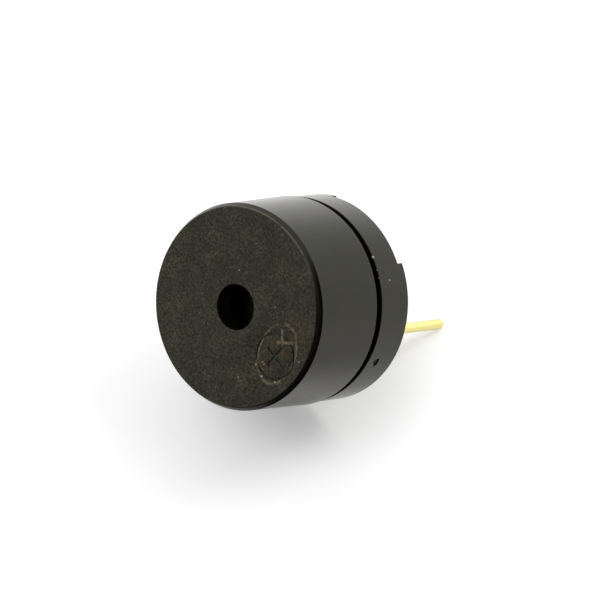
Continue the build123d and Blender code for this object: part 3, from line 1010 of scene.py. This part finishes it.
def pressed_laminate():
    """Brown laminate whose weave shows as a product of two sine waves, under clouds of resin."""
    board = Surface("pressed_laminate")
    weave = (board.x * weave_rate).sine() * (board.y * weave_rate).sine()
    cloud = board.noise(grains=1.0, detail=3.0, rough=0.6)
    shade = (0.5 + 0.25 * weave + 0.8 * (cloud - 0.5)).limit(0, 1)
    return board.finish(shade.mix((0.30, 0.17, 0.06), (0.46, 0.30, 0.12)),
                        (0.42 + 0.12 * weave).limit(0.1, 1), 0.004 * weave)


def poured_resin():
    """Black resin with slow waves and small pits where bubbles broke."""
    resin = Surface("poured_resin")
    cloud = resin.noise(grains=0.7, detail=3.0, rough=0.55)
    waves = resin.noise(grains=0.5, detail=1.0, rough=0.4, stretch=(1, 1, 0))
    pits = resin.noise(grains=2.3, detail=0.0, stretch=(1, 1, 0)).rise(0.76, 0.84)
    colour = cloud.rise(0.35, 0.7).mix((0.012, 0.011, 0.010), (0.026, 0.023, 0.018))
    roughness = (0.16 + 0.35 * (cloud - 0.4) + 0.3 * pits).limit(0.08, 1)
    return resin.finish(colour, roughness, 0.05 * waves - 0.03 * pits)


dress(ground_ferrite(), nodes["ring_magnet"])
cloudy_pieces = [
    ("coil_bobbin", "moulded_nylon", (0.78, 0.76, 0.69), (0.66, 0.63, 0.53), 0.42),
    ("coil_wrap", "amber_tape", (0.62, 0.34, 0.05), (0.48, 0.22, 0.03), 0.22, 0.1, 0.9, 0.002),
    ("cap_adhesive", "clear_glue", (0.62, 0.53, 0.30), (0.72, 0.66, 0.45), 0.2, 0.15, 0.8, 0.006)]
for name, *finish in cloudy_pieces:
    dress(cloudy(*finish), nodes[name])
dress(pressed_laminate(), nodes["circuit_board"])
dress(poured_resin(), resin)

# %% [markdown]
# ## Finish of the floor
# The picture was taken on a white table in a light tent. More light could whiten the floor, but it
# would wash out the object. So the floor is matt white, and Light Path tells its shader which ray
# asks. The camera gets a glow on top of the lit floor, weaker round the object, so that the shadow
# stays deep. A mirrored ray gets a glow of its own, stronger behind the object, for the gold to
# show. In front the table ends: all rays but the camera's pass into the dark. The camera sees
# through the floor from below and along it, and far off the floor fades to white.

# %% Floor finish
floor_white = (0.9, 0.9, 0.9)
floor_lift, floor_lift_far = 0.28, 0.50
lift_span, fade_span = (2.5, 9.0), (45.0, 80.0)
lift_shift_right, lift_shift_away = 2.5, 1.0
mirror_lift, mirror_lift_behind, behind_span = 0.24, 0.65, (4, 20)
edge_on_span = (0.80, 0.94)
table_front, table_front_right = (5.5, 11.5), 0.5

right = unit(camera_right - (camera_right @ floor_normal) * floor_normal)
away = unit(-camera_back + (camera_back @ floor_normal) * floor_normal)
body_middle = np.array([0.0, 0.0, body_height / 2])
under_object = body_middle - (body_middle @ floor_normal - floor_level) * floor_normal
lift_centre = under_object + lift_shift_right * right + lift_shift_away * away

floor_paint = bpy.data.materials.new("floor_paint")
floor_paint.use_nodes = True
tree = floor_paint.node_tree
start = Signal(tree)
place = start.node("TexCoord", out=3)
is_camera, is_glossy = (start.node("LightPath", out=k) for k in (0, 3))
along_floor = start.node("LayerWeight", None, {"Blend": 0.5}, out=1).rise(*edge_on_span)
from_below = start.node("NewGeometry", out=6)
to_front = place.vector("DOT_PRODUCT", unit(table_front_right * right - away) / MM, out=1)
to_back = place.vector("DOT_PRODUCT", away / MM, out=1)
from_object = place.vector("DISTANCE", lift_centre * MM, out=1) / MM

lift_level = floor_lift + (floor_lift_far - floor_lift) * from_object.rise(*lift_span)
mirrored = mirror_lift + (mirror_lift_behind - mirror_lift) * to_back.rise(*behind_span)
matt = start.node("BsdfDiffuse", None, {"Color": (*floor_white, 1.0)})
lift = start.node("Emission", None, {"Strength": lift_level * is_camera + mirrored * is_glossy})
lifted = start.node("AddShader", None, {0: matt, 1: lift})
see_through = (from_below.larger(along_floor) * is_camera
               + to_front.rise(*table_front) * (1 - is_camera)
               + from_object.rise(*fade_span) * is_camera).limit(0, 1)
both = start.node("MixShader", None,
                  {0: see_through, 1: lifted, 2: start.node("BsdfTransparent")})
tree.links.new(both.socket, tree.nodes["Material Output"].inputs["Surface"])
floor.data.materials.append(floor_paint)
print("floor glow", floor_lift, "under the buzzer and", floor_lift_far, "further out")

# %% [markdown]
# ## The light tent
# The world is the tent. A panorama could light the object, but this needs no image: the tent is
# white all round, and dark in a wide soft patch where the camera and the room behind it are, and
# below the front of the table. That darkness makes black plastic look black. The camera itself
# sees plain white.

# %% Light tent
tent_level, tent_dark = 1.15, 0.05
tent_dark_low, tent_dark_right = 0.5, 0.45
tent_dark_angles = (75, 45)
below_span, ahead_span = (0, 0.1), (0, 0.2)

world = bpy.data.worlds.new("tent")
world.use_nodes = True
tree = world.node_tree
start = Signal(tree)
direction = start.node("TexCoord")
dark_middle = unit(camera_back - tent_dark_low * away + tent_dark_right * right)
towards, below, ahead = (direction.vector("DOT_PRODUCT", axis, out=1)
                         for axis in (dark_middle, -floor_normal, -away))
dark = towards.rise(*(math.cos(math.radians(angle)) for angle in tent_dark_angles))
dark = dark.larger(below.rise(*below_span) * ahead.rise(*ahead_span))
is_camera = start.node("LightPath", out=0)
level = is_camera + (1 - is_camera) * (tent_level - (tent_level - tent_dark) * dark)
tree.links.new(level.socket, tree.nodes["Background"].inputs["Strength"])
tree.nodes["Background"].inputs["Color"].default_value = (1, 1, 1, 1)
bpy.context.scene.world = world
bpy.context.scene.view_settings.view_transform = "Standard"
print("tent level", tent_level, "and", tent_dark, "in its dark patch")

# %% [markdown]
# ## The lamp
# The tent alone gives a shadow without a direction. One soft square lamp on the right and behind
# gives the shadow that the picture shows. Mirror reflections leave it out, because a tent hides its
# lamp.

# %% Lamp
lamp_right, lamp_away, lamp_height = 0.84, 0.54, math.radians(48)
lamp_distance, lamp_size, lamp_power = 150.0, 60.0, 0.05

to_lamp = (math.cos(lamp_height) * unit(lamp_right * right + lamp_away * away)
           + math.sin(lamp_height) * floor_normal)
lamp = add("lamp", bpy.data.lights.new("lamp", "AREA"))
lamp.data.size, lamp.data.energy = lamp_size * MM, lamp_power
lamp.visible_glossy = False
lamp.location = Vector((to_lamp * lamp_distance + body_middle) * MM)
lamp.rotation_euler = Vector(to_lamp).to_track_quat("Z", "Y").to_euler()
print("lamp at", (np.array(lamp.location) / MM).round(1), "mm")
